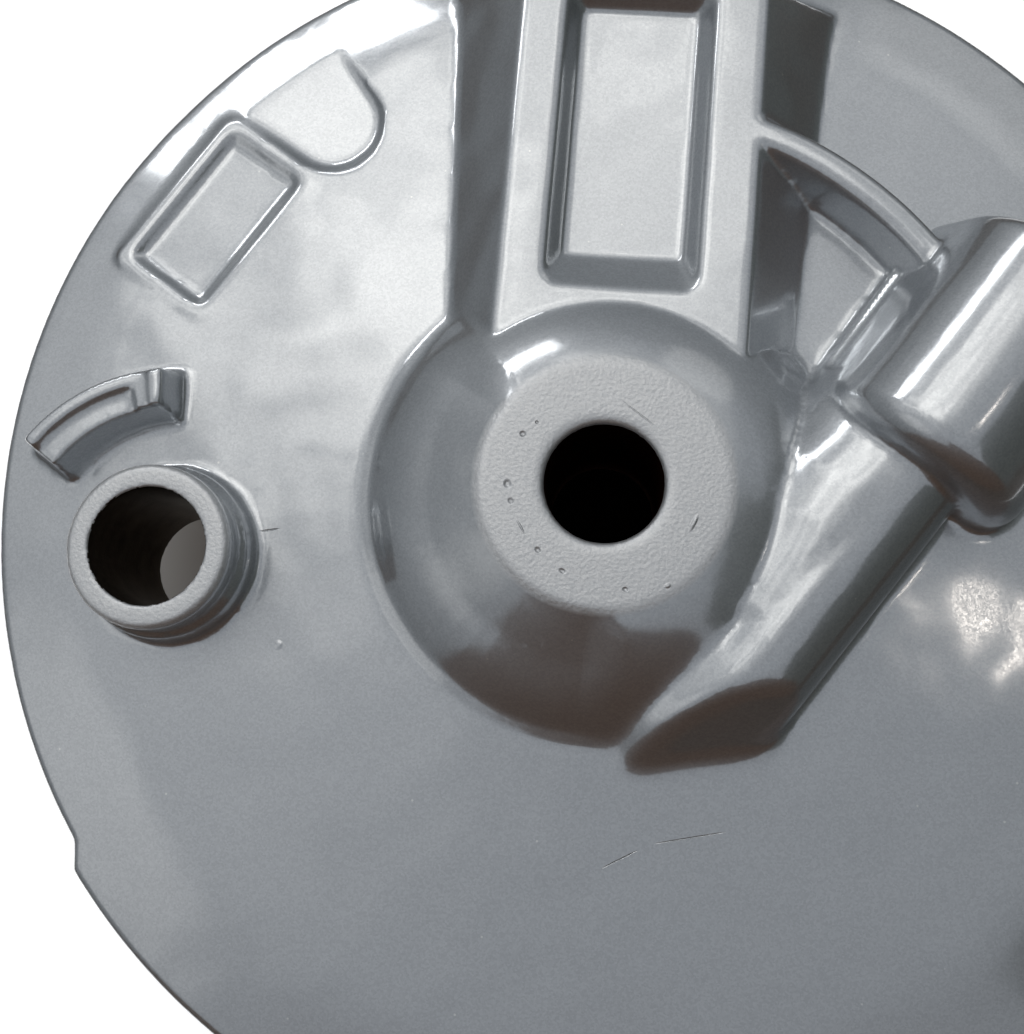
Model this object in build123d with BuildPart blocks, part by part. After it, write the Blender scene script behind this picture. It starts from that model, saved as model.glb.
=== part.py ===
from build123d import *
from math import atan2, cos, degrees, hypot, radians, sin, tan
import os

# Front brake panel of a small motorcycle: one aluminium die casting with a pressed-in anchor pin.
# Millimetres. The axle runs along Z, +Z points out of the wheel, and the torque ridge points to +Y.
# The origin lies on the axle, level with the foot of the hub cone on the outer face.

# Plate and rim
rim_radius = 68.1            # edge of the panel over its upper part
flange_step = 1.8            # by which the edge is wider over the lower part
flange_start = -142.6        # where the wider edge begins, degrees from +X
flange_ramp = 3.2            # angle over which it widens
skirt_depth = 5.4            # height of the rim's outer wall
skirt_wall = 3.4             # thickness of the rim's wall
plate_wall = 3.6             # thickness of the plate
plate_slope = 0.07           # fall of the plate's face for each mm outwards
band_width = 9.0             # of the band beside the rim, where the face falls faster
band_slope = 0.2
band_round = 45.0            # soft turn between the face and the band
rim_round = 0.9

flange_radius = rim_radius + flange_step
band_radius = rim_radius - band_width

# Hub cone, axle bore and gear recess
axle_bore = 12.0             # diameter
bore_lip = 0.6               # rounding of the axle bore's outer lip
hub_face_radius = 12.5
hub_height = 8.0
hub_edge = 0.9               # rounding of the hub's face
cone_foot_radius = 25.6
cone_bulge = 1.2             # how far the cone's flank swells out of a straight line
foot_round = 3.0
axle_tube_radius = 9.5
axle_tube_end = -16.0        # inner end of the tube round the axle
gear_recess_radius = 20.5
gear_recess_top = 0.6
gear_wall = 3.4              # wall round the gear recess
gear_wall_end = -8.0

# Cam-shaft boss
cam_x = -46.2
cam_y = -9.9
cam_bore = 12.2              # diameter
cam_top = 6.5
cam_ring_radius = 8.7
cam_neck_radius = 8.4
cam_shoulder_radius = 9.3
cam_shoulder_height = 2.4    # of the shoulder's top, above the frame's zero
cam_foot_flare = 0.3         # by which the boss widens from the shoulder to its foot
cam_edge = 0.7
cam_end = -15.0              # inner end of the boss

# Arc-shaped stop beside the cam boss, concentric with the cam bore
stop_outer = 19.8
stop_inner = 15.6
stop_from = 96.0
stop_to = 147.0
stop_height = 5.0            # above the plate's face
stop_draft = 9.0
stop_ledge = 1.6             # width of the raised outer ledge
stop_step = 0.7              # how far the inner pad lies below the ledge
stop_tooth_angle = 5.0       # angle that the tooth at the end spans
stop_pad_angle = 11.0        # angle from that end to the lower inner pad
stop_tooth_rise = 0.5
stop_tooth_inset = 0.2
stop_edge = 0.3
stop_toe_angle = 9.0         # by which the inner pad runs out past the stop's end
plinth_height = 1.1          # low plinth under the stop, wider on its inner side and at the tooth
plinth_reach = 0.9
plinth_angle = 2.5
plinth_edge = 0.5

# Torque ridge
ridge_offset = 0.3           # of its middle line from the axle, along X
ridge_half_width = 13.1      # of the flat land
ridge_top = 5.0
ridge_flank = 1.12           # run of the flank for each mm of its height
ridge_gap = 10.5             # from the land's outer end to the rim
ridge_rest = 0.2             # plate left below the ridge's root
ridge_edge = 1.0
pocket_half_width = 8.2
pocket_start = 21.2
pocket_end = 56.0
pocket_depth = 2.6
pocket_wall = 1.7            # run of the pocket's side walls
pocket_hub_wall = 4.4        # run of its wall beside the hub
pocket_round = 1.6

# Curved rib between ridge and drive housing, concentric with the axle
rib_outer = 43.6
rib_inner = 40.6
rib_from = 40.0
rib_to = 74.0
rib_top = 5.0
rib_draft = 10.0
rib_edge = 1.0

# Housing of the speedometer drive
drive_angle = 56.4           # direction of its axis, degrees from +X
drive_tilt = 3.0             # rise of its axis towards the cable end
drive_offset = 23.1          # distance of its axis from the axle
drive_axis_height = 0.1      # height of its axis where it passes the axle
socket_radius = 11.5         # outside of the cable end
tube_radius = 6.1            # outside of the slim end
socket_end = 46.2            # along the axis, from the point nearest the axle
shoulder_at = 20.8
tube_end = -27.0
tube_lift = 1.0              # by which the slim end's round top sits above the axis
socket_edge = 1.6
shoulder_edge = 3.4          # soft sweep where the stout end begins
drive_side_depth = 3.0       # straight side walls below the axis
fairing_angle = 25.0         # where the fairing towards the hub leaves the round top
fairing_foot = 13.4          # foot of the fairing, from the axis towards the hub
nose_foot_x = 6.4            # a point on the foot of the slim end's oblique nose
nose_foot_y = -27.7
nose_heading = -77.0         # the way the nose faces, degrees from +X
nose_slope = 46.0
nose_round = 1.9
pad_top = 0.9                # low pad between housing and hub
pad_edge = 0.5
pad_outline = ((40, 9.2), (24, 9.7), (19.3, 10.8), (17, 12), (17, 22), (40, 22))
fairing_round = 15.0         # radius of the fairing's top across the axis
fairing_lap = 1.5            # by which it starts beyond the crown, and lies below it there
fairing_sink = 0.4
fairing_sections = (         # foot of its edge: along the axis, from the axle across it, and up
    (-5.5, 18.6, 4.2),
    (-0.5, 17.1, 5.6),
    (4, 16.6, 6.0),
    (10, 14.5, 5.9),
    (15, 12.2, 4.8),
    (21, 10.2, 2.4),
    (25, 9.8, 1.2),
)
cable_bore = 11.0            # of the blind hole for the cable's end
cable_depth = 18.0
cable_wall = 3.0             # wall beside that hole, on the underside
cable_relief = 13.0          # diameter of the groove that clears the cable in front of the hole
pinion_bore = 7.2
pinion_bore_end = -9.0
tube_under = 6.2             # depth of the housing's flat underside below the axis, slim end
socket_under = 8.8           # the same at the cable end

# Label pocket and round notch near the rim
label_radius = 55.0
label_angle = 147.9
label_length = 18.8
label_width = 10.9
label_border = 1.5
label_depth = 0.9
label_wall = 1.0
label_taper = 35.0
label_edge = 0.3
notch_radius = 5.7
notch_x = -34.3
notch_y = 41.5
notch_depth = 0.9
notch_reach = 14.0           # how far its sides run out towards the rim
notch_open = 19.0            # angle between its sides

# Anchor pin and its boss, opposite the cam
anchor_radius = 44.0
anchor_angle = 12.1
anchor_boss_radius = 10.5
anchor_boss_end = -15.0
pin_diameter = 13.0          # of the free end, on which the shoes turn
pin_free_length = 22.0
pin_seat_diameter = 11.0     # of the shank pressed into the boss
pin_seat_depth = 7.0
pin_chamfer = 1.0

# Ribs of the hidden side
web_thickness = 4.0
web_end = -9.0

near = 0.1                   # how close to a place the corners and edges are looked for


def face_height(radius):
    """Height of the plate's outer face at a distance from the axle."""
    inner = min(max(radius - cone_foot_radius, 0), band_radius - cone_foot_radius)
    outer = max(radius - band_radius, 0)
    return -plate_slope * inner - band_slope * outer


def polar(radius, angle):
    """Point at a distance and a direction, in degrees from +X."""
    return radius * cos(radians(angle)), radius * sin(radians(angle))


def ring_sector(inner, outer, start, end):
    """Flat ring sector between two radii and two directions."""
    with BuildSketch() as sector:
        with BuildLine():
            CenterArc((0, 0), outer, start, end - start)
            Line(polar(outer, end), polar(inner, end))
            CenterArc((0, 0), inner, end, start - end)
            Line(polar(inner, start), polar(outer, start))
        make_face()
    return sector.sketch


def corners_at(section, distance):
    """Corners of a turned section at a distance from its axis."""
    return section.vertices().filter_by_position(Axis.X, distance - near, distance + near)


def is_rim_edge(edge):
    """Edges along the rim's outer corner, on the face's side."""
    middle = edge.position_at(0.5)
    outside = hypot(middle.X, middle.Y) > rim_radius - near
    return outside and middle.Z > rim_height - near and edge.bounding_box().size.Z < skirt_depth / 2


rim_height = face_height(flange_radius)
skirt_end = rim_height - skirt_depth
cone_middle = ((hub_face_radius + cone_foot_radius) / 2, hub_height / 2)
cone_slant = hypot(cone_foot_radius - hub_face_radius, hub_height)
bulge_point = (
    cone_middle[0] + cone_bulge * hub_height / cone_slant,
    cone_middle[1] + cone_bulge * (cone_foot_radius - hub_face_radius) / cone_slant,
)

# Turned outline of the plate: hub, cone, face, rim, skirt, inner face, gear recess and axle tube
with BuildPart() as disc:
    with BuildSketch(Plane.XZ) as disc_section:
        with BuildLine():
            Line((0, hub_height), (hub_face_radius, hub_height))
            ThreePointArc((hub_face_radius, hub_height), bulge_point, (cone_foot_radius, 0))
            Polyline(
                (cone_foot_radius, 0),
                (band_radius, face_height(band_radius)),
                (flange_radius, rim_height),
                (flange_radius, skirt_end),
                (rim_radius - skirt_wall, skirt_end),
                (rim_radius - skirt_wall, rim_height - plate_wall),
                (band_radius, face_height(band_radius) - plate_wall),
                (gear_recess_radius + gear_wall, -plate_wall),
                (gear_recess_radius + gear_wall, gear_wall_end),
                (gear_recess_radius, gear_wall_end),
                (gear_recess_radius, gear_recess_top),
                (axle_tube_radius, gear_recess_top),
                (axle_tube_radius, axle_tube_end),
                (0, axle_tube_end),
                (0, hub_height),
            )
        make_face()
        fillet(corners_at(disc_section, hub_face_radius), hub_edge)
        fillet(corners_at(disc_section, cone_foot_radius), foot_round)
        fillet(corners_at(disc_section, band_radius).sort_by(Axis.Y)[-1], band_round)
    revolve(axis=Axis.Z)
    # The rim keeps its full width over the lower part only, mirrored about the ridge's line
    upper_start = -180 - flange_start
    with BuildSketch(Plane.XY.offset(skirt_end)):
        with BuildLine():
            CenterArc((0, 0), rim_radius, upper_start, flange_start + 360 - upper_start)
            Polyline(
                polar(rim_radius, flange_start),
                polar(flange_radius + rim_round, flange_start + flange_ramp),
                (0, -3 * flange_radius),
                polar(flange_radius + rim_round, upper_start - flange_ramp),
                polar(rim_radius, upper_start),
            )
        make_face()
    extrude(amount=hub_height - skirt_end, mode=Mode.INTERSECT)
    fillet(disc.edges().filter_by(is_rim_edge), rim_round)

# Torque ridge: flanks as steep all along, end wall round like the rim, long pocket in its land
ridge_end = rim_radius - ridge_gap
ridge_foot = ridge_rest - plate_wall
foot_half_width = ridge_half_width + ridge_flank * (ridge_top - ridge_foot)
with BuildPart() as ridge:
    with BuildSketch(Plane.XZ):
        with BuildLine():
            Polyline(
                (ridge_offset - ridge_half_width, ridge_top),
                (ridge_offset + ridge_half_width, ridge_top),
                (ridge_offset + foot_half_width, ridge_foot),
                (ridge_offset - foot_half_width, ridge_foot),
                close=True,
            )
        make_face()
    extrude(amount=-(ridge_end + ridge_top))
    with BuildSketch(Plane.XZ):
        with BuildLine():
            Polyline(
                (0, ridge_top),
                (ridge_end, ridge_top),
                (ridge_end + ridge_flank * (ridge_top - ridge_foot) / 2, ridge_foot),
                (0, ridge_foot),
                close=True,
            )
        make_face()
    revolve(axis=Axis.Z, mode=Mode.INTERSECT)
    with BuildSketch(Plane.XY.offset(ridge_top)) as pocket_mouth:
        with Locations((0, (pocket_start + pocket_end) / 2)):
            RectangleRounded(2 * pocket_half_width, pocket_end - pocket_start, pocket_round)
    floor_start = pocket_start + pocket_hub_wall
    floor_end = pocket_end - pocket_wall
    floor_width = 2 * (pocket_half_width - pocket_wall)
    with BuildSketch(Plane.XY.offset(ridge_top - pocket_depth)) as pocket_floor:
        with Locations((0, (floor_start + floor_end) / 2)):
            RectangleRounded(floor_width, floor_end - floor_start, pocket_round / 2)
    loft(sections=[pocket_mouth.sketch, pocket_floor.sketch], mode=Mode.SUBTRACT)
    ridge_land = ridge.faces().filter_by(Axis.Z).sort_by(Axis.Z)[-1]
    fillet(ridge_land.edges(), ridge_edge)

# Curved rib
with BuildPart() as rib:
    with BuildSketch(Plane.XY.offset(rib_top)):
        add(ring_sector(rib_inner, rib_outer, rib_from, rib_to))
    extrude(amount=-(rib_top + plate_wall), taper=-rib_draft)
    fillet(rib.faces().sort_by(Axis.Z)[-1].edges(), rib_edge)

# Arc-shaped stop with its ledge and tooth
stop_base = face_height(hypot(cam_x, cam_y) + stop_inner / 2)
stop_top = stop_base + stop_height
stop_pad_from = stop_from + stop_pad_angle
stop_pad_inner = stop_inner - stop_ledge
stop_pad_outer = stop_outer - stop_ledge
stop_root = stop_height + plate_wall / 2

with BuildPart() as stop_body:
    with BuildSketch(Plane.XY.offset(stop_top)):
        add(ring_sector(stop_inner, stop_outer, stop_from, stop_to))
    extrude(amount=-stop_root, taper=-stop_draft)
    with BuildSketch(Plane.XY.offset(stop_top)):
        add(ring_sector(stop_pad_inner, stop_pad_outer, stop_pad_from, stop_to + stop_toe_angle))
    extrude(amount=-stop_step, mode=Mode.SUBTRACT)
    fillet(stop_body.faces().filter_by(Axis.Z).sort_by(Axis.Z)[-1].edges(), stop_edge)

with BuildPart() as stop:
    with BuildSketch(Plane.XY.offset(stop_base + plinth_height)):
        add(ring_sector(stop_inner - plinth_reach, stop_outer, stop_from - plinth_angle, stop_to))
    extrude(amount=-(plinth_height + plate_wall / 2), taper=-stop_draft)
    fillet(stop.faces().filter_by(Axis.Z).sort_by(Axis.Z)[-1].edges(), plinth_edge)
    add(stop_body.part)
    tooth_from = stop_from + 2 * stop_tooth_inset
    with BuildSketch(Plane.XY.offset(stop_top + stop_tooth_rise)):
        add(ring_sector(stop_inner + stop_tooth_inset, stop_outer, tooth_from, stop_from + stop_tooth_angle))
    extrude(amount=-stop_height, taper=-stop_draft / 3)
stop_part = stop.part.translate((cam_x, cam_y, 0))

# Cam-shaft boss, turned about the cam's axis
with BuildPart() as cam_boss:
    with BuildSketch(Plane.XZ) as cam_section:
        with BuildLine():
            Polyline(
                (0, cam_top),
                (cam_ring_radius, cam_top),
                (cam_neck_radius, cam_shoulder_height),
                (cam_shoulder_radius, cam_shoulder_height),
                (cam_shoulder_radius + cam_foot_flare, -plate_wall),
                (cam_neck_radius, cam_end),
                (0, cam_end),
                close=True,
            )
        make_face()
        cam_corners = cam_section.vertices().filter_by_position(Axis.Y, 0, cam_top)
        ring_corner = cam_corners.group_by(Axis.Y)[-1].sort_by(Axis.X)[-1]
        groove_corner, shoulder_corner = cam_corners.group_by(Axis.Y)[0].sort_by(Axis.X)
        fillet(ring_corner, cam_edge)
        fillet((groove_corner, shoulder_corner), (cam_shoulder_radius - cam_neck_radius) / 2)
    revolve(axis=Axis.Z)
cam_part = cam_boss.part.translate((cam_x, cam_y, 0))

# Drive housing: stout cable end and slim pinion end on one axis, with straight sides below it
drive_heading = radians(drive_angle)
drive_foot = polar(drive_offset, drive_angle - 90)
drive_plane = Plane(
    origin=(drive_foot[0], drive_foot[1], drive_axis_height),
    x_dir=(-sin(drive_heading), cos(drive_heading), 0),
    z_dir=(cos(drive_heading), sin(drive_heading), tan(radians(drive_tilt))),
)
nose_plane = Plane(
    origin=(nose_foot_x, nose_foot_y, 0),
    z_dir=(
        cos(radians(nose_heading)) * sin(radians(nose_slope)),
        sin(radians(nose_heading)) * sin(radians(nose_slope)),
        cos(radians(nose_slope)),
    ),
)


def arched_section(radius, lift, hub_foot):
    """Half-round top on straight sides; the side towards the hub may lean out to a foot."""
    lean_angle = fairing_angle if hub_foot > radius else 0
    lean_x, lean_y = polar(radius, lean_angle)
    with BuildSketch() as section:
        with BuildLine():
            CenterArc((0, lift), radius, 180, lean_angle - 180)
            Polyline(
                (lean_x, lean_y + lift),
                (hub_foot, -drive_side_depth),
                (-radius, -drive_side_depth),
                (-radius, lift),
            )
        make_face()
    return section.sketch


def across_drive(along, away):
    """Point on the plate: along the housing's axis, and away from the axle across it."""
    return (
        along * cos(drive_heading) + away * sin(drive_heading),
        along * sin(drive_heading) - away * cos(drive_heading),
    )


with BuildPart() as tube:
    with BuildSketch(drive_plane.offset(tube_end)):
        add(arched_section(tube_radius, tube_lift, tube_radius))
    extrude(amount=socket_end - socket_edge - tube_end)
    split(bisect_by=nose_plane, keep=Keep.BOTTOM)
    nose_face = tube.faces().sort_by(Axis(nose_plane.origin, nose_plane.z_dir))[-1]
    fillet(nose_face.edges().filter_by(GeomType.ELLIPSE), nose_round)
    with BuildSketch(drive_plane.offset(pinion_bore_end - drive_side_depth)):
        with Locations((0, -tube_under / 2)):
            Rectangle(2 * tube_radius, tube_under)
    extrude(amount=shoulder_at - pinion_bore_end + drive_side_depth)

with BuildPart() as socket:
    with BuildSketch(drive_plane.offset(shoulder_at)):
        add(arched_section(socket_radius, 0, fairing_foot))
    extrude(amount=socket_end - shoulder_at)
    along_drive = Axis(drive_plane.origin, drive_plane.z_dir)
    socket_ends = socket.faces().filter_by(GeomType.PLANE).sort_by(along_drive)
    fillet(socket_ends[-1].edges().sort_by(Axis.Z)[1:], socket_edge)
    socket_ends = socket.faces().filter_by(GeomType.PLANE).sort_by(along_drive)
    fillet(socket_ends[0].edges().sort_by(Axis.Z)[1:], shoulder_edge)
    with BuildSketch(drive_plane.offset(shoulder_at)):
        with Locations((0, -socket_under / 2)):
            Rectangle(cable_bore + 2 * cable_wall, socket_under)
    extrude(amount=socket_end - shoulder_at - socket_edge)

# Fairing that carries the slim end's round top over to the hub cone, wider and lower at the shoulder
with BuildPart() as fairing:
    for along, away, height in fairing_sections:
        section_plane = Plane(
            origin=(*across_drive(along, drive_offset), 0),
            x_dir=(-sin(drive_heading), cos(drive_heading), 0),
            z_dir=(cos(drive_heading), sin(drive_heading), 0),
        )
        crown = drive_axis_height + along * tan(radians(drive_tilt)) + tube_lift + tube_radius
        with BuildSketch(section_plane):
            with BuildLine():
                RadiusArc((-fairing_lap, crown - fairing_sink), (drive_offset - away, height), fairing_round)
                Polyline(
                    (drive_offset - away, height),
                    (drive_offset - away, -plate_wall / 2),
                    (-fairing_lap, -plate_wall / 2),
                    (-fairing_lap, crown - fairing_sink),
                )
            make_face()
    loft(ruled=True)

# Low pad between the housing and the hub
with BuildPart() as pad:
    with BuildSketch(Plane.XY.offset(pad_top)):
        with BuildLine():
            Polyline(*[across_drive(along, away) for along, away in pad_outline], close=True)
        make_face()
    extrude(amount=-(pad_top + plate_wall / 2))
    fillet(pad.faces().sort_by(Axis.Z)[-1].edges(), pad_edge)

# Label pad: its face follows the plate at its inner side and stands proud of the band outside
label_x, label_y = polar(label_radius, label_angle)
label_plane = Plane(
    origin=(label_x, label_y, face_height(label_radius)),
    x_dir=(-sin(radians(label_angle)), cos(radians(label_angle)), 0),
    z_dir=(plate_slope * cos(radians(label_angle)), plate_slope * sin(radians(label_angle)), 1),
)
with BuildPart() as label_block:
    with BuildSketch(label_plane):
        RectangleRounded(label_length + 2 * label_border, label_width + 2 * label_border, label_border)
    extrude(amount=-plate_wall / 2, taper=-label_taper)
    fillet(label_block.faces().sort_by(Axis.Z)[-1].edges(), label_edge)
with BuildPart() as label_recess:
    with BuildSketch(label_plane):
        RectangleRounded(label_length, label_width, label_wall)
    extrude(amount=-label_depth, taper=label_taper)

# The notch beside it is open towards the band, which falls below the notch's level floor
notch_floor = face_height(hypot(notch_x, notch_y)) - notch_depth
notch_sides = []
for side_angle, quarter in ((label_angle, 90), (label_angle - notch_open, -90)):
    touch_x, touch_y = polar(notch_radius, side_angle + quarter)
    away_x, away_y = polar(notch_reach, side_angle)
    notch_sides.append((notch_x + touch_x, notch_y + touch_y))
    notch_sides.append((notch_x + touch_x + away_x, notch_y + touch_y + away_y))

# Anchor pin's place
anchor_x, anchor_y = polar(anchor_radius, anchor_angle)

with BuildPart() as panel:
    add(disc.part)
    add(ridge.part)
    add(rib.part)
    add(stop_part)
    add(tube.part)
    add(socket.part)
    add(fairing.part)
    add(pad.part)
    add(label_block.part)
    # Gear recess, opened again where the housing crosses it, and the tube round the axle
    with BuildSketch(Plane.XY.offset(gear_wall_end - 1)):
        Circle(gear_recess_radius)
    extrude(amount=gear_recess_top - gear_wall_end + 1, mode=Mode.SUBTRACT)
    with BuildSketch(Plane.XY.offset(axle_tube_end)):
        Circle(axle_tube_radius)
    extrude(amount=gear_recess_top - axle_tube_end + 1)
    # Bosses of the hidden side
    add(cam_part)
    with BuildSketch(Plane.XY.offset(anchor_boss_end)):
        with Locations((anchor_x, anchor_y)):
            Circle(anchor_boss_radius)
    extrude(amount=-anchor_boss_end - plate_wall / 2)
    # Webs from the gear wall to the bosses
    web_start = gear_recess_radius + gear_wall / 2
    cam_angle = degrees(atan2(cam_y, cam_x))
    for web_angle, web_reach in ((anchor_angle, anchor_radius), (cam_angle, hypot(cam_x, cam_y))):
        web_plane = Plane(origin=(0, 0, web_end), x_dir=(*polar(1, web_angle), 0), z_dir=(0, 0, 1))
        with BuildSketch(web_plane):
            with Locations(((web_start + web_reach) / 2, 0)):
                Rectangle(web_reach - web_start, web_thickness)
        extrude(amount=-web_end - plate_wall / 2)
    # Bores, the axle bore with a soft outer lip
    with BuildSketch(Plane.XZ):
        with BuildLine():
            CenterArc((axle_bore / 2 + bore_lip, hub_height - bore_lip), bore_lip, 90, 90)
            Polyline(
                (axle_bore / 2, hub_height - bore_lip),
                (axle_bore / 2, axle_tube_end),
                (0, axle_tube_end),
                (0, hub_height),
                (axle_bore / 2 + bore_lip, hub_height),
            )
        make_face()
    revolve(axis=Axis.Z, mode=Mode.SUBTRACT)
    with BuildSketch(Plane.XY.offset(cam_end)):
        with Locations((cam_x, cam_y)):
            Circle(cam_bore / 2)
    extrude(amount=cam_top - cam_end, mode=Mode.SUBTRACT)
    with BuildSketch(Plane.XY.offset(anchor_boss_end)):
        with Locations((anchor_x, anchor_y)):
            Circle(pin_seat_diameter / 2)
    extrude(amount=pin_seat_depth, mode=Mode.SUBTRACT)
    with BuildSketch(drive_plane.offset(socket_end)):
        Circle(cable_bore / 2)
    extrude(amount=-cable_depth, mode=Mode.SUBTRACT)
    with BuildSketch(drive_plane.offset(socket_end)):
        Circle(cable_relief / 2)
    extrude(amount=rim_radius, mode=Mode.SUBTRACT)
    with BuildSketch(drive_plane.offset(pinion_bore_end)):
        Circle(pinion_bore / 2)
    extrude(amount=socket_end - pinion_bore_end, mode=Mode.SUBTRACT)
    add(label_recess.part, mode=Mode.SUBTRACT)
    with BuildSketch(Plane.XY.offset(notch_floor)):
        with Locations((notch_x, notch_y)):
            Circle(notch_radius)
        with BuildLine():
            inner_left, outer_left, inner_right, outer_right = notch_sides
            Polyline((notch_x, notch_y), inner_left, outer_left, outer_right, inner_right, close=True)
        make_face()
    extrude(amount=3 * notch_depth, mode=Mode.SUBTRACT)

with BuildPart() as pin:
    with BuildSketch(Plane.XY.offset(anchor_boss_end)):
        with Locations((anchor_x, anchor_y)):
            Circle(pin_diameter / 2)
    extrude(amount=-pin_free_length)
    chamfer(pin.edges().group_by(Axis.Z)[0], pin_chamfer)
    with BuildSketch(Plane.XY.offset(anchor_boss_end)):
        with Locations((anchor_x, anchor_y)):
            Circle(pin_seat_diameter / 2)
    extrude(amount=pin_seat_depth)

os.makedirs("parts", exist_ok=True)
panel.part.label = "brake_panel"
export_step(panel.part, "parts/brake_panel.step")
pin.part.label = "anchor_pin"
export_step(pin.part, "parts/anchor_pin.step")
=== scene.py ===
# %% [markdown]
# # Front brake panel of a small motorcycle
# The panel closes the brake drum of a front wheel. It is one aluminium die casting, sprayed with
# silver lacquer on the side that shows, and left as cast on the side that carries the brake shoes.
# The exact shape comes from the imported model. This lesson gives it the softness of a casting, its
# lacquer, its machined bores, and the light of a photograph taken from above.

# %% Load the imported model
import bpy
import numpy as np
from math import pi, radians
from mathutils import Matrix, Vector


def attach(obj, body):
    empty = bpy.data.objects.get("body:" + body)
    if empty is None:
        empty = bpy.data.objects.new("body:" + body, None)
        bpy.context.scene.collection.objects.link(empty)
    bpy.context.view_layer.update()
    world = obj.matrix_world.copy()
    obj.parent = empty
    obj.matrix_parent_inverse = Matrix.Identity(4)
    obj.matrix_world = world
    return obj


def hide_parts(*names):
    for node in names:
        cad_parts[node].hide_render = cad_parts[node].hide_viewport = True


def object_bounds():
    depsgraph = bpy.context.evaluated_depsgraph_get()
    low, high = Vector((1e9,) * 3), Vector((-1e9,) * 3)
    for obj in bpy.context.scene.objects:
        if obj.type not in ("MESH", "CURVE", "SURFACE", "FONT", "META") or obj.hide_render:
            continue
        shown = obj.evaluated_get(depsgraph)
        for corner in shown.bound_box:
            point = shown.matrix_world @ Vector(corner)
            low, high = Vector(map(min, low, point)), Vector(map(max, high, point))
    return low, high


MM = 0.001
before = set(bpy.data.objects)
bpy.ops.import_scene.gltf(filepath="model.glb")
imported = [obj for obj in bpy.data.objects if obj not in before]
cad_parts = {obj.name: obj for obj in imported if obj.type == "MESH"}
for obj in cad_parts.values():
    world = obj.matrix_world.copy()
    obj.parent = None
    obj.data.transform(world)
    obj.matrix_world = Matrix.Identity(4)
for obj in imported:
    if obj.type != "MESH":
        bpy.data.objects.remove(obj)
cad_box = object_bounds()
print("nodes:", sorted(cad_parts))
print("box in mm:", [[round(v / MM, 1) for v in corner] for corner in cad_box])

# %% [markdown]
# Two small helpers are used all through. Colours are written as the hex values that a screen shows,
# but Cycles works in linear light, so each value is turned first. The other helper adds one node to
# a material, sets its values and connects its inputs, so a material reads like a short list.

# %% Helper for colours
def linear(hex_colour, alpha=1.0):
    """Screen colour, such as #808080, as the linear values that the renderer works with."""
    channels = [int(hex_colour[i:i + 2], 16) / 255 for i in (1, 3, 5)]
    return [c / 12.92 if c <= 0.04045 else ((c + 0.055) / 1.055) ** 2.4 for c in channels] + [alpha]


print("screen grey #808080 in linear light:", round(linear("#808080")[0], 3))


# %% Helpers for nodes and materials
def add_node(tree, kind, settings=None, links=None):
    """Adds a node. Settings are its attributes or the values of its inputs, links feed its inputs."""
    node = tree.nodes.new(kind)
    for name, value in (settings or {}).items():
        if isinstance(name, str) and hasattr(node, name):
            setattr(node, name, value)
        else:
            node.inputs[name].default_value = value
    for name, source in (links or {}).items():
        tree.links.new(source, node.inputs[name])
    return node


def new_material(name):
    """Empty node material, ready for a shader, and its node tree."""
    material = bpy.data.materials.new(name)
    material.use_nodes = True
    material.node_tree.nodes.clear()
    return material, material.node_tree


# %% [markdown]
# ## Camera
# The photograph was taken by hand from above, a little below the middle of the part and not quite
# square to it. Circles that are known to be round, such as the hub's face, the bores and the rim,
# tell where the camera stood and how wide its view was. Those values are simply set here.

# %% Camera, in millimetres and degrees
CAMERA_PLACE = (0.25, -21.78, 124.61)
CAMERA_LEAN = (8.8995, 3.6729, 5.1096)
LENS = 41.36
FILM_HEIGHT = 36

camera_data = bpy.data.cameras.new("photo_camera")
camera_data.sensor_fit = "VERTICAL"
camera_data.sensor_height = FILM_HEIGHT
camera_data.lens = LENS
camera_data.clip_start = 5 * MM
camera = bpy.data.objects.new("photo_camera", camera_data)
camera.location = [v * MM for v in CAMERA_PLACE]
camera.rotation_euler = [radians(v) for v in CAMERA_LEAN]
bpy.context.collection.objects.link(camera)
bpy.context.scene.camera = camera
print("camera height in mm:", round(camera.location.z / MM, 1))

# %% [markdown]
# ## Table
# The part lies over a white sheet on a brown bench, so the background is white. Under the part the
# sheet is painted near black, a painted shadow of the part, and that painted shadow is what one sees
# through the bores. The disc is one flat face, because its whole look comes from how far a point is
# from the middle: the paint turns from near black to white within a tenth of a metre, and to the
# bench's brown further out. From the edge of the painted shadow out to the bench the sheet also
# glows, so that it stays white.

# %% Table
TABLE_RADIUS = 2.5
TABLE_GAP = 1.0

bpy.ops.object.select_all(action="DESELECT")
bpy.ops.mesh.primitive_circle_add(vertices=96, radius=TABLE_RADIUS, fill_type="NGON",
                                  location=(0, 0, cad_box[0][2] - TABLE_GAP * MM))
table = bpy.context.object
table.name = "table"
bpy.ops.object.transform_apply(location=True)
print("table below the foot of the hub's cone in mm:", round((TABLE_GAP * MM - cad_box[0][2]) / MM, 1))

# %% Paint of the table with the part's painted shadow, by distance from the middle in metres
PAINTED_SHADOW_REACH = 0.1
# Painted shadow of the part on the sheet: near black under the part, white further out.
PAINTED_SHADOW_TONES = ((0.40, "#050404"), (0.62, "#7A7066"), (0.92, "#F4F4F4"))
WHITE_BEGINS = (0.072, 0.092)
WHITE_ENDS = (0.145, 0.18)
SHEET_GLOW = 0.68
BENCH_BROWN = "#5E544C"

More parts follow.
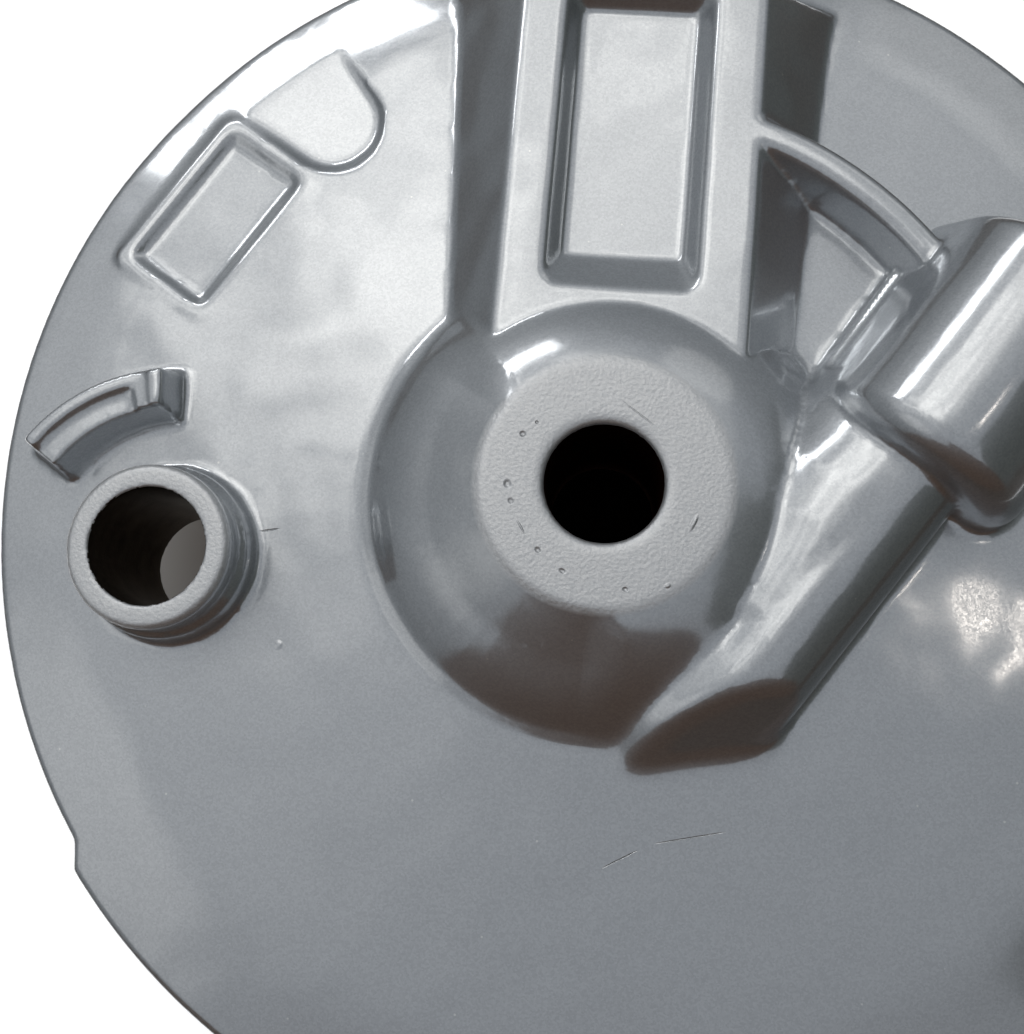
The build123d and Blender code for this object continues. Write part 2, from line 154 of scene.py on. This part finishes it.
table_paint, tree = new_material("white_sheet_with_painted_shadow_on_brown_bench")
place = add_node(tree, "ShaderNodeTexCoord")
distance = add_node(tree, "ShaderNodeVectorMath", {"operation": "LENGTH"}, {0: place.outputs["Object"]})
across = add_node(tree, "ShaderNodeMapRange", {"From Max": PAINTED_SHADOW_REACH}, {0: distance.outputs["Value"]})
# Painted shadow: the sheet's colour by distance from the middle of the part.
painted_shadow = add_node(tree, "ShaderNodeValToRGB", links={0: across.outputs[0]})
painted_shadow.color_ramp.elements[0].position = PAINTED_SHADOW_TONES[0][0]
painted_shadow.color_ramp.elements[0].color = linear(PAINTED_SHADOW_TONES[0][1])
painted_shadow.color_ramp.elements[1].position = PAINTED_SHADOW_TONES[-1][0]
painted_shadow.color_ramp.elements[1].color = linear(PAINTED_SHADOW_TONES[-1][1])
painted_shadow.color_ramp.elements.new(PAINTED_SHADOW_TONES[1][0]).color = linear(PAINTED_SHADOW_TONES[1][1])
# The sheet's glow begins only outside the painted shadow.
begins = add_node(tree, "ShaderNodeMapRange", {
    "interpolation_type": "SMOOTHSTEP", "From Min": WHITE_BEGINS[0], "From Max": WHITE_BEGINS[1],
    "To Max": SHEET_GLOW,
}, {0: distance.outputs["Value"]})
ends = add_node(tree, "ShaderNodeMapRange", {
    "interpolation_type": "SMOOTHSTEP", "From Min": WHITE_ENDS[0], "From Max": WHITE_ENDS[1],
    "To Min": 1.0, "To Max": 0.0,
}, {0: distance.outputs["Value"]})
ground = add_node(tree, "ShaderNodeMix", {"data_type": "RGBA", 6: linear(BENCH_BROWN)},
                  {0: ends.outputs[0], 7: painted_shadow.outputs[0]})
glow = add_node(tree, "ShaderNodeMath", {"operation": "MULTIPLY"},
                {0: begins.outputs[0], 1: ends.outputs[0]})
sheet = add_node(tree, "ShaderNodeBsdfPrincipled", {
    "Roughness": 0.6, "Specular IOR Level": 0.0, "Emission Color": linear("#FFFFFF"),
}, {"Base Color": ground.outputs[2], "Emission Strength": glow.outputs[0]})
add_node(tree, "ShaderNodeOutputMaterial", links={"Surface": sheet.outputs[0]})
table.data.materials.append(table_paint)
print("table paint nodes:", len(tree.nodes))

# %% [markdown]
# ## Light
# Lacquer over metal mirrors what is round it, so the light matters as much as the finish. The
# photograph has bright clouds up and to the left, a grey sky overhead, and dark walls to the right
# and, brown, low down. All this is far away, so it is painted on the world by direction: first a sky
# that changes with height, then the walls over it, then soft glows that are added on top.

# %% Sky by height, and the walls
SKY_BY_HEIGHT = (
    (0.0, "#74787B"), (0.45, "#878B8F"), (0.62, "#A2A6AB"), (0.97, "#A4A8AD"), (1.0, "#8E9298"),
)
WALLS = (
    # name, colour, range of x over which it begins, range of y over which it begins
    ("right_wall", "#4E5250", (0.55, 0.61), (0.26, 0.10)),
    ("upper_right_wall", "#4A4E4C", (0.70, 0.80), (0.75, 0.65)),
    ("porch", "#48362B", (-0.22, -0.14), (-0.54, -0.59)),
    ("low_wall", "#4C3B30", (-1.2, -1.1), (-0.64, -0.70)),
)

world = bpy.data.worlds.new("soft_room")
world.use_nodes = True
bpy.context.scene.world = world
tree = world.node_tree
tree.nodes.clear()
direction = add_node(tree, "ShaderNodeTexCoord")
parts = add_node(tree, "ShaderNodeSeparateXYZ", links={0: direction.outputs["Generated"]})
sky = add_node(tree, "ShaderNodeValToRGB", links={0: parts.outputs[2]})
sky.color_ramp.elements[0].color = linear(SKY_BY_HEIGHT[0][1])
sky.color_ramp.elements[1].color = linear(SKY_BY_HEIGHT[-1][1])
for height, colour in SKY_BY_HEIGHT[1:-1]:
    sky.color_ramp.elements.new(height).color = linear(colour)
backdrop = sky.outputs[0]
for name, colour, x_range, y_range in WALLS:
    sideways = add_node(tree, "ShaderNodeMapRange", {
        "interpolation_type": "SMOOTHSTEP", "From Min": x_range[0], "From Max": x_range[1],
    }, {0: parts.outputs[0]})
    downwards = add_node(tree, "ShaderNodeMapRange", {
        "interpolation_type": "SMOOTHSTEP", "From Min": y_range[0], "From Max": y_range[1],
    }, {0: parts.outputs[1]})
    both = add_node(tree, "ShaderNodeMath", {"operation": "MULTIPLY"},
                    {0: sideways.outputs[0], 1: downwards.outputs[0]})
    wall = add_node(tree, "ShaderNodeMix", {"data_type": "RGBA", "label": name, 7: linear(colour)},
                    {0: both.outputs[0], 6: backdrop})
    backdrop = wall.outputs[2]
light = add_node(tree, "ShaderNodeBackground", {"Strength": 1.0}, {"Color": backdrop})
print("walls:", [wall[0] for wall in WALLS])

# %% Clouds and soft glows
GLOWS = (
    # name, direction, cosine at its edge and at its middle, strength
    ("bright_cloud", (-0.13, 0.42, 0.90), 0.945, 0.988, 0.86),
    ("cloud_beside_it", (-0.36, 0.43, 0.83), 0.970, 0.994, 0.12),
    ("left", (-0.55, 0.05, 0.83), 0.80, 0.98, 0.10),
    ("left_rim", (-0.75, 0.24, 0.62), 0.965, 0.99, 0.10),
    ("low_left", (-0.67, -0.31, 0.67), 0.95, 0.985, 0.25),
    ("upper_right", (0.40, 0.70, 0.58), 0.975, 0.99, 0.30),
    ("right_of_ridge", (0.30, 0.50, 0.81), 0.93, 0.98, 0.16),
)
SMALL_CLOUDS = ("small_clouds", (-0.25, 0.42, 0.87), 0.87, 0.96, 1.0)
CLOUD_SCALE = 11.0
CLOUD_EDGE = (0.48, 0.56)
CLOUD_STRENGTH = 0.72
SUNLIT_WHITE = "#FFFBF4"

puffs = add_node(tree, "ShaderNodeTexNoise", {"Scale": CLOUD_SCALE, "Detail": 3.0, "Roughness": 0.55},
                 {"Vector": direction.outputs["Generated"]})
puff = add_node(tree, "ShaderNodeMapRange", {
    "interpolation_type": "SMOOTHSTEP", "From Min": CLOUD_EDGE[0], "From Max": CLOUD_EDGE[1],
    "To Max": CLOUD_STRENGTH,
}, {0: puffs.outputs[0]})
for name, towards, edge, middle, strength in (*GLOWS, SMALL_CLOUDS):
    facing = add_node(tree, "ShaderNodeVectorMath",
                      {"operation": "DOT_PRODUCT", "label": name, 1: Vector(towards).normalized()},
                      {0: direction.outputs["Generated"]})
    shine = add_node(tree, "ShaderNodeMapRange", {
        "interpolation_type": "SMOOTHSTEP", "From Min": edge, "From Max": middle, "To Max": strength,
    }, {0: facing.outputs["Value"]})
    if name == SMALL_CLOUDS[0]:
        shine = add_node(tree, "ShaderNodeMath", {"operation": "MULTIPLY"},
                         {0: shine.outputs[0], 1: puff.outputs[0]})
    patch = add_node(tree, "ShaderNodeBackground", {"Color": linear(SUNLIT_WHITE)}, {1: shine.outputs[0]})
    light = add_node(tree, "ShaderNodeAddShader", links={0: light.outputs[0], 1: patch.outputs[0]})
add_node(tree, "ShaderNodeOutputWorld", links={"Surface": light.outputs[0]})
print("glows:", len(GLOWS), "and a field of small clouds")

# %% [markdown]
# Two gaps in the clouds are so bright that they draw sharp highlights along edges and rims. A small
# bright spot on the world would be noisy, so each gap is a rectangular lamp, which Cycles samples
# well. Its energy is worked out from its size, so that it looks equally bright at any size.


# %% Gaps in the clouds: small and bright, for the sharp highlights
def add_gap(name, towards, distance, size, radiance, tint):
    """Rectangular lamp in a direction from the part, facing it, as bright as it is to look at."""
    lamp = bpy.data.lights.new(name, "AREA")
    lamp.shape = "RECTANGLE"
    lamp.size, lamp.size_y = size
    lamp.energy = radiance * pi * size[0] * size[1]
    lamp.color = linear(tint)[:3]
    holder = bpy.data.objects.new(name, lamp)
    heading = Vector(towards).normalized()
    holder.location = heading * distance
    holder.rotation_euler = heading.to_track_quat("Z", "Y").to_euler()
    bpy.context.collection.objects.link(holder)
    return holder


gaps = (
    add_gap("long_gap", (-0.476, 0.679, 0.559), 0.9, (0.40, 0.12), 4.2, "#FFFFFF"),
    add_gap("small_gap_right", (0.469, 0.028, 0.883), 0.92, (0.048, 0.024), 5.6, "#FFF3E6"),
)
print("energy of the gaps in watts:", [round(gap.data.energy, 3) for gap in gaps])

# %% [markdown]
# ## The casting
# A die casting has no sharp inner corners: metal flows badly round them, and lacquer fills them
# further. A bevel modifier can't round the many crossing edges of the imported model, which is exact
# but crisp. So a copy of it is turned into an even net of small faces, and the net is smoothed. Each
# round of smoothing moves every point half way to the middle of its neighbours.


# %% Helpers for the copy and its modifiers
def copy_of_node(node, name):
    """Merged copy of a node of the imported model, with no material."""
    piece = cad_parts[node].copy()
    piece.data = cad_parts[node].data.copy()
    piece.name = name
    piece.data.name = name
    bpy.context.collection.objects.link(piece)
    piece.parent = None
    bpy.ops.object.select_all(action="DESELECT")
    bpy.context.view_layer.objects.active = piece
    piece.select_set(True)
    bpy.ops.object.mode_set(mode="EDIT")
    bpy.ops.mesh.select_all(action="SELECT")
    bpy.ops.mesh.remove_doubles(threshold=0.001 * MM)
    bpy.ops.object.mode_set(mode="OBJECT")
    piece.data.materials.clear()
    return piece


def apply_modifier(piece, kind, **settings):
    """Adds one modifier with its settings and applies it."""
    modifier = piece.modifiers.new(kind.lower(), kind)
    for name, value in settings.items():
        setattr(modifier, name, value)
    bpy.ops.object.select_all(action="DESELECT")
    bpy.context.view_layer.objects.active = piece
    piece.select_set(True)
    bpy.ops.object.modifier_apply(modifier=modifier.name)


# %% Copy of the model as an even net
NET = 0.36 * MM
FIRST_ROUNDS = 3
HALF_WAY = 0.5

casting = copy_of_node("brake_panel", "cast_panel")
apply_modifier(casting, "REMESH", mode="VOXEL", voxel_size=NET)
apply_modifier(casting, "SMOOTH", factor=HALF_WAY, iterations=FIRST_ROUNDS)
print("faces in the net:", len(casting.data.polygons))

# %% [markdown]
# Smoothing alone would wear the outer edges off as much as it fills the hollow ones. On the real
# part the hollows are filled more. So the net is smoothed on trial first, and from where it was each
# point then moves only if that takes it outwards, along its own normal.

# %% Fill the hollow corners
FILL_ROUNDS = 8
LAST_ROUNDS = 2


def points_of(piece):
    """Positions and normals of a piece's points, as arrays."""
    count = len(piece.data.vertices)
    spots = np.empty(count * 3, dtype=np.float32)
    normals = np.empty(count * 3, dtype=np.float32)
    piece.data.vertices.foreach_get("co", spots)
    piece.data.vertices.foreach_get("normal", normals)
    return spots.reshape(-1, 3), normals.reshape(-1, 3)


crisp, outward = points_of(casting)
apply_modifier(casting, "SMOOTH", factor=HALF_WAY, iterations=FILL_ROUNDS)
soft, _ = points_of(casting)
rise = ((soft - crisp) * outward).sum(axis=1)
filled = crisp + outward * np.clip(rise, 0, None)[:, None]
casting.data.vertices.foreach_set("co", filled.ravel())
casting.data.update()
apply_modifier(casting, "SMOOTH", factor=HALF_WAY, iterations=LAST_ROUNDS)
print("deepest filling in mm:", round(float(rise.max()) / MM, 2))

# %% [markdown]
# The hub's cone swells a little between its foot and its face. Its reflections in the photograph
# call for a straighter flank on the side that lies open, from the ridge round to the drive housing.
# There the points sink, most in the middle of the flank and not at all at its foot and its top.

# %% Straighten the open side of the hub's cone, in millimetres and degrees
CONE_TOP = (12.5, 8.0)
CONE_FOOT = (25.6, 0.0)
PACKED_SWELL = 1.35
DRAWN_IN = 1.0
BAND = 0.7
OPEN_MIDDLE = 208
OPEN_HALF = 74
OPEN_FADE = 14
LOWEST = -0.3

spots, _ = points_of(casting)
radius = np.hypot(spots[:, 0], spots[:, 1]) / MM
along = np.clip((radius - CONE_TOP[0]) / (CONE_FOOT[0] - CONE_TOP[0]), 0, 1)
straight = CONE_TOP[1] + along * (CONE_FOOT[1] - CONE_TOP[1])
swelling = 1 - (2 * along - 1) ** 2
above = spots[:, 2] / MM - straight - PACKED_SWELL * swelling
azimuth = np.degrees(np.arctan2(spots[:, 1], spots[:, 0])) % 360
open_side = np.clip((OPEN_HALF - np.abs(azimuth - OPEN_MIDDLE)) / OPEN_FADE, 0, 1)
on_flank = np.clip(1 - above / BAND, 0, 1) * open_side * (spots[:, 2] > LOWEST * MM)
spots[:, 2] -= DRAWN_IN * MM * swelling * on_flank
casting.data.vertices.foreach_set("co", spots.ravel())
casting.data.update()
print("points that sank:", int((on_flank * swelling > 0.05).sum()))

# %% [markdown]
# In a few places the photograph shows the forms softer still: round the label frame, on the drive
# housing's nose and shoulder, and on the lip of the axle bore. A vertex group tells the Smooth
# modifier where to work and how much: fully in the middle, and less towards the edge, in four steps.

# %% Soften these places further
SOFT_PLACES = (
    # middle in millimetres, reach in millimetres, rounds of smoothing
    ("label_and_notch", (-43.0, 34.0, -3.0), 17.0, 16),
    ("nose", (11.0, -23.0, 4.0), 11.0, 90),
    ("shoulder", (29.0, 3.0, 6.0), 8.0, 14),
    ("axle_lip", (0.0, 0.0, 8.0), 9.0, 16),
)
FADE_SHARE = 0.3
LEVELS = (0.25, 0.5, 0.75, 1.0)

for name, middle, reach, rounds in SOFT_PLACES:
    spots, _ = points_of(casting)
    away = np.linalg.norm(spots / MM - np.array(middle), axis=1)
    weights = np.clip((reach - away) / (FADE_SHARE * reach), 0, 1)
    group = casting.vertex_groups.new(name=name)
    for level in LEVELS:
        chosen = np.nonzero((weights > level - LEVELS[0]) & (weights <= level))[0]
        group.add(chosen.tolist(), level, "REPLACE")
    apply_modifier(casting, "SMOOTH", factor=HALF_WAY, iterations=rounds, vertex_group=name)
    print(name, "points softened:", int((weights > 0).sum()))

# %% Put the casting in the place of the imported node
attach(casting, "root")
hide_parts("brake_panel")
print("the casting stands for:", "brake_panel")

# %% [markdown]
# ## Silver lacquer
# The finish is a silver lacquer: fine aluminium flakes in a clear binder, sprayed on and left wet
# and glossy. The flakes act as a soft metal mirror, the binder as a thin clear coat over it. Part of
# the light comes back sharply from the wet top, part is spread by the flakes, so two metals are
# mixed. On the hub's face and the cam boss's ring the casting was rough, and the lacquer is duller.
#
# Pits, scratches and raised specks are too small to model. Each is an ellipse in the height that the
# Bump nodes read, so its place and size stay plain numbers in millimetres. The last number of a mark
# is its depth, as a share of the deepest one, and a mark with a negative depth is raised.

# %% Small marks: place, height of the surface, half length, half width, turn in degrees, depth
HUB_MARKS = (
    (-8.5, 4.3, 8.0, 0.42, 0.38, 0, 1.0),
    (-7.2, 5.6, 8.0, 0.20, 0.20, 0, 0.8),
    (-9.6, -0.9, 8.0, 0.48, 0.55, 20, 1.0),
    (-9.1, -2.6, 8.0, 0.34, 0.42, 30, 0.8),
    (-7.9, -5.1, 8.0, 1.00, 0.14, -57, -0.5),
    (-6.0, -7.3, 8.0, 0.42, 0.34, -40, 0.9),
    (-3.4, -9.2, 8.0, 0.45, 0.30, -20, 0.8),
    (2.9, -10.5, 8.0, 0.38, 0.30, 0, 0.8),
    (7.0, -9.8, 8.0, 0.40, 0.28, 30, -0.6),
    (9.1, -3.4, 8.0, 1.15, 0.30, 68, -0.7),
    (3.0, 7.2, 8.0, 2.70, 0.10, -34, 0.3),
)
PLATE_MARKS = (
    (4.6, -37.2, -0.9, 2.30, 0.09, 31.5, 0.6),
    (11.5, -34.4, -0.8, 4.10, 0.09, 14.5, 0.6),
    (-35.6, -6.4, -0.7, 1.25, 0.12, 11.7, 0.7),
    (-33.2, -18.6, -0.9, 0.60, 0.60, 0, -0.4),
)
MARK_REACH = 2.0
FLAT_SHARE = 0.2


def height_of_marks(tree, position, marks):
    """Height of a group of marks together, from 0 on the plain surface."""
    total = None
    for x, y, z, half_length, half_width, turn, depth in marks:
        local = add_node(tree, "ShaderNodeMapping", {
            "vector_type": "TEXTURE", "Location": (x, y, z), "Rotation": (0, 0, radians(turn)),
            "Scale": (half_length, half_width, MARK_REACH),
        }, {"Vector": position})
        away = add_node(tree, "ShaderNodeVectorMath", {"operation": "LENGTH"}, {0: local.outputs[0]})
        dip = add_node(tree, "ShaderNodeMapRange", {
            "interpolation_type": "SMOOTHSTEP", "From Min": FLAT_SHARE, "From Max": 1.0,
            "To Min": -depth, "To Max": 0.0,
        }, {0: away.outputs["Value"]})
        if total is None:
            total = dip.outputs[0]
        else:
            joined = add_node(tree, "ShaderNodeMath", {"operation": "ADD"}, {0: total, 1: dip.outputs[0]})
            total = joined.outputs[0]
    return total


print("marks on the hub and on the plate:", len(HUB_MARKS), len(PLATE_MARKS))

# %% [markdown]
# Real flakes are a few hundredths of a millimetre, too fine to show, so the grain is drawn as coarse
# as the picture can hold. Each Voronoi cell is one flake, with its own tone and its own gloss.
# Specks of dust sit in the lacquer every few millimetres.

# %% Flakes and dust, in millimetres
METRES_TO_MM = (1000, 1000, 1000)
GRAIN = 0.2
FLAKE_TONES = ("#C2C5C8", "#CFD2D5")
DUST_SPACING = 3.4
DUST_EDGE = (0.045, 0.025)
DUST_TONE = "#F2F2F0"
DUST_COVER = 0.8

lacquer, tree = new_material("sprayed_silver_lacquer")
place = add_node(tree, "ShaderNodeTexCoord")
in_mm = add_node(tree, "ShaderNodeMapping", {"Scale": METRES_TO_MM}, {"Vector": place.outputs["Object"]})
flakes = add_node(tree, "ShaderNodeTexVoronoi", {"Scale": 1 / GRAIN}, {"Vector": in_mm.outputs[0]})
flake = add_node(tree, "ShaderNodeSeparateColor", links={0: flakes.outputs["Color"]})
tone = add_node(tree, "ShaderNodeMix",
                {"data_type": "RGBA", 6: linear(FLAKE_TONES[0]), 7: linear(FLAKE_TONES[1])},
                {0: flake.outputs[0]})
specks = add_node(tree, "ShaderNodeTexVoronoi", {"Scale": 1 / DUST_SPACING}, {"Vector": in_mm.outputs[0]})
speck = add_node(tree, "ShaderNodeMapRange",
                 {"From Min": DUST_EDGE[0], "From Max": DUST_EDGE[1], "To Max": DUST_COVER},
                 {0: specks.outputs["Distance"]})
dusty = add_node(tree, "ShaderNodeMix", {"data_type": "RGBA", 7: linear(DUST_TONE)},
                 {0: speck.outputs[0], 6: tone.outputs[2]})
print("flakes and dust, nodes so far:", len(tree.nodes))

# %% The wet lacquer: slow waves and marks in its surface, and a sharp and a spread metal
WAVES_PER_MM = 0.09
WAVE_DEPTH = 0.30 * MM
MARK_DEPTH = 0.16 * MM
SHARP_ROUGHNESS = (0.09, 0.17)
SPREAD_SHARE = 0.52

plate_marks = height_of_marks(tree, in_mm.outputs[0], PLATE_MARKS)
flow = add_node(tree, "ShaderNodeTexNoise", {"Scale": WAVES_PER_MM, "Detail": 1.0},
                {"Vector": in_mm.outputs[0]})
wave = add_node(tree, "ShaderNodeBump", {"Distance": WAVE_DEPTH}, {"Height": flow.outputs[0]})
skin = add_node(tree, "ShaderNodeBump", {"Distance": MARK_DEPTH},
                {"Height": plate_marks, "Normal": wave.outputs[0]})
gloss = add_node(tree, "ShaderNodeMapRange", {"To Min": SHARP_ROUGHNESS[0], "To Max": SHARP_ROUGHNESS[1]},
                 {0: flake.outputs[1]})
sharp = add_node(tree, "ShaderNodeBsdfPrincipled", {
    "Metallic": 1.0, "Coat Weight": 1.0, "Coat Roughness": 0.03,
}, {"Base Color": dusty.outputs[2], "Roughness": gloss.outputs[0], "Normal": skin.outputs[0],
    "Coat Normal": skin.outputs[0]})
spread = add_node(tree, "ShaderNodeBsdfPrincipled", {"Metallic": 1.0, "Roughness": 0.46},
                  {"Base Color": dusty.outputs[2], "Normal": skin.outputs[0]})
wet = add_node(tree, "ShaderNodeMixShader", {0: SPREAD_SHARE}, {1: sharp.outputs[0], 2: spread.outputs[0]})
print("share of light that the flakes spread:", SPREAD_SHARE)

# %% The dull lacquer of the rough places: paler, with a grain of its own
GRAINS_PER_MM = 2.6
GRIT_DEPTH = 0.05 * MM
PALE_TONES = ("#D2D4D6", "#DEDFE0")

hub_marks = height_of_marks(tree, in_mm.outputs[0], HUB_MARKS)
dents = add_node(tree, "ShaderNodeBump", {"Distance": MARK_DEPTH}, {"Height": hub_marks})
grit = add_node(tree, "ShaderNodeTexNoise", {"Scale": GRAINS_PER_MM, "Detail": 2.0},
                {"Vector": in_mm.outputs[0]})
rough_skin = add_node(tree, "ShaderNodeBump", {"Distance": GRIT_DEPTH},
                      {"Height": grit.outputs[0], "Normal": dents.outputs[0]})
pale = add_node(tree, "ShaderNodeMix",
                {"data_type": "RGBA", 6: linear(PALE_TONES[0]), 7: linear(PALE_TONES[1])},
                {0: flake.outputs[0]})
dull = add_node(tree, "ShaderNodeBsdfPrincipled", {
    "Metallic": 0.85, "Roughness": 0.5, "Coat Weight": 0.6, "Coat Roughness": 0.22,
}, {"Base Color": pale.outputs[2], "Normal": rough_skin.outputs[0], "Coat Normal": rough_skin.outputs[0]})
print("grain of the dull places in mm:", round(1 / GRAINS_PER_MM, 2))

# %% Where the lacquer is dull: the hub's face and the cam boss's ring
CAM_PLACE = (-46.2, -9.9)
DULL_PLACES = (
    # middle, radius, height from which the surface is dull, all in millimetres
    ((0, 0, 0), 13.2, 7.1),
    ((*CAM_PLACE, 0), 9.0, 5.8),
)
DULL_EDGE = 0.25
DULL_STEP = 0.3

heights = add_node(tree, "ShaderNodeSeparateXYZ", links={0: in_mm.outputs[0]})
dullness = None
for middle, radius, height_from in DULL_PLACES:
    from_middle = add_node(tree, "ShaderNodeVectorMath", {"operation": "SUBTRACT", 1: middle},
                           {0: in_mm.outputs[0]})
    flat = add_node(tree, "ShaderNodeVectorMath", {"operation": "MULTIPLY", 1: (1, 1, 0)},
                    {0: from_middle.outputs[0]})
    reach = add_node(tree, "ShaderNodeVectorMath", {"operation": "LENGTH"}, {0: flat.outputs[0]})
    inside = add_node(tree, "ShaderNodeMapRange",
                      {"From Min": radius + DULL_EDGE, "From Max": radius - DULL_EDGE},
                      {0: reach.outputs["Value"]})
    on_top = add_node(tree, "ShaderNodeMapRange",
                      {"From Min": height_from - DULL_STEP, "From Max": height_from + DULL_STEP},
                      {0: heights.outputs[2]})
    here = add_node(tree, "ShaderNodeMath", {"operation": "MULTIPLY"},
                    {0: inside.outputs[0], 1: on_top.outputs[0]})
    if dullness is None:
        dullness = here.outputs[0]
    else:
        either = add_node(tree, "ShaderNodeMath", {"operation": "MAXIMUM"},
                          {0: dullness, 1: here.outputs[0]})
        dullness = either.outputs[0]
whole = add_node(tree, "ShaderNodeMixShader", links={0: dullness, 1: wet.outputs[0], 2: dull.outputs[0]})
add_node(tree, "ShaderNodeOutputMaterial", links={"Surface": whole.outputs[0]})
print("lacquer nodes:", len(tree.nodes))

# %% [markdown]
# ## Bare metal
# The bores were machined after casting. The axle bore is painted near black, as painted shade inside
# it, with red-brown blotches as a painted reflection; the cam bore is a dark brown-grey. The hidden
# side is aluminium as it left the die: pale, dull and slightly mottled. The pin is turned steel. All
# four are the same kind of surface with other tones, so one function makes them: a metal between two
# tones in blotches of a real size, with a fine grit in its surface.

# %% Bare metal
FINE_GRAINS_PER_MM = 3.0
FINE_GRIT_DEPTH = 0.02 * MM


def bare_metal(name, dark, light_tone, roughness, mottle):
    """Bare metal with blotches of a real size in millimetres."""
    material, tree = new_material(name)
    place = add_node(tree, "ShaderNodeTexCoord")
    in_mm = add_node(tree, "ShaderNodeMapping", {"Scale": METRES_TO_MM}, {"Vector": place.outputs["Object"]})
    blotch = add_node(tree, "ShaderNodeTexNoise", {"Scale": 1 / mottle, "Detail": 4.0},
                      {"Vector": in_mm.outputs[0]})
    tone = add_node(tree, "ShaderNodeMix", {"data_type": "RGBA", 6: linear(dark), 7: linear(light_tone)},
                    {0: blotch.outputs[0]})
    grit = add_node(tree, "ShaderNodeTexNoise", {"Scale": FINE_GRAINS_PER_MM, "Detail": 2.0},
                    {"Vector": in_mm.outputs[0]})
    skin = add_node(tree, "ShaderNodeBump", {"Distance": FINE_GRIT_DEPTH}, {"Height": grit.outputs[0]})
    metal = add_node(tree, "ShaderNodeBsdfPrincipled", {"Metallic": 1.0, "Roughness": roughness},
                     {"Base Color": tone.outputs[2], "Normal": skin.outputs[0]})
    add_node(tree, "ShaderNodeOutputMaterial", links={"Surface": metal.outputs[0]})
    return material


raw_casting = bare_metal("die_cast_aluminium", "#8F8F8C", "#B9B9B5", 0.55, 6.0)
# Cam bore's wall: a dark brown-grey metal.
dark_cam_bore_metal = bare_metal("dark_machined_cam_bore", "#3A332E", "#7A7168", 0.42, 2.0)
# Axle bore's wall: near black painted shade, with red-brown blotches as a painted reflection.
axle_bore_painted_shade_and_reflection = bare_metal("axle_bore_with_painted_shade_and_reflection", "#0C0908", "#4A2519", 0.5, 3.0)
steel = bare_metal("turned_steel", "#A3A19D", "#C4C2BE", 0.28, 8.0)
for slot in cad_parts["anchor_pin"].material_slots:
    slot.material = steel
print("bare metals:", [m.name for m in (raw_casting, dark_cam_bore_metal, axle_bore_painted_shade_and_reflection, steel)])

# %% [markdown]
# ## Which face carries which finish
# The spray reached only the outer side and the rim. A face's place and the way it looks tell what it
# is: under the dish it is raw, on the cam bore's wall it is dark metal, and on the axle bore's wall
# it carries the painted shade. That is read from the mesh, so no face is chosen by hand.

# %% Which face carries which finish, in millimetres
UNDER_PLATE = 2.0
DISH_SLOPE = 0.07
SKIRT_INSIDE = 65.5
CAM_BORE_REACH = 6.5
AXLE_BORE_REACH = 6.4
AXLE_LIP_HEIGHT = 7.3


def face_places(piece):
    """Middles in millimetres and normals of a piece's faces."""
    count = len(piece.data.polygons)
    middles = np.empty(count * 3, dtype=np.float32)
    normals = np.empty(count * 3, dtype=np.float32)
    piece.data.polygons.foreach_get("center", middles)
    piece.data.polygons.foreach_get("normal", normals)
    return middles.reshape(-1, 3) / MM, normals.reshape(-1, 3)


middles, normals = face_places(casting)
from_axle = np.hypot(middles[:, 0], middles[:, 1])
from_cam = np.hypot(middles[:, 0] - CAM_PLACE[0], middles[:, 1] - CAM_PLACE[1])
finish = np.zeros(len(middles), dtype=np.int32)
under_face = -DISH_SLOPE * np.clip(from_axle - CONE_FOOT[0], 0, None) - UNDER_PLATE
finish[(middles[:, 2] < under_face) & (from_axle < SKIRT_INSIDE)] = 1
finish[(from_cam < CAM_BORE_REACH) & (np.abs(normals[:, 2]) < 0.5)] = 2
axle_bore = (from_axle < AXLE_BORE_REACH) & (np.abs(normals[:, 2]) < 0.7)
finish[axle_bore & (middles[:, 2] < AXLE_LIP_HEIGHT)] = 3
for material in (lacquer, raw_casting, dark_cam_bore_metal, axle_bore_painted_shade_and_reflection):
    casting.data.materials.append(material)
casting.data.polygons.foreach_set("material_index", finish)
print("faces of each finish:", np.bincount(finish).tolist())

# %% [markdown]
# The net has far more faces than the plain stretches of the casting need. Decimate takes faces away
# where the surface is flat and leaves them in the corners, so the shape stays and the mesh is light.

# %% Fewer faces, and smooth shading
FACE_LIMIT = 190000

apply_modifier(casting, "TRIANGULATE")
apply_modifier(casting, "DECIMATE", ratio=FACE_LIMIT / len(casting.data.polygons))
bpy.ops.object.select_all(action="DESELECT")
bpy.context.view_layer.objects.active = casting
casting.select_set(True)
bpy.ops.object.shade_smooth()
print("triangles kept:", len(casting.data.polygons))

# %% [markdown]
# ## View
# The Standard view shows colours as they were matched.

# %% View
bpy.context.scene.view_settings.view_transform = "Standard"
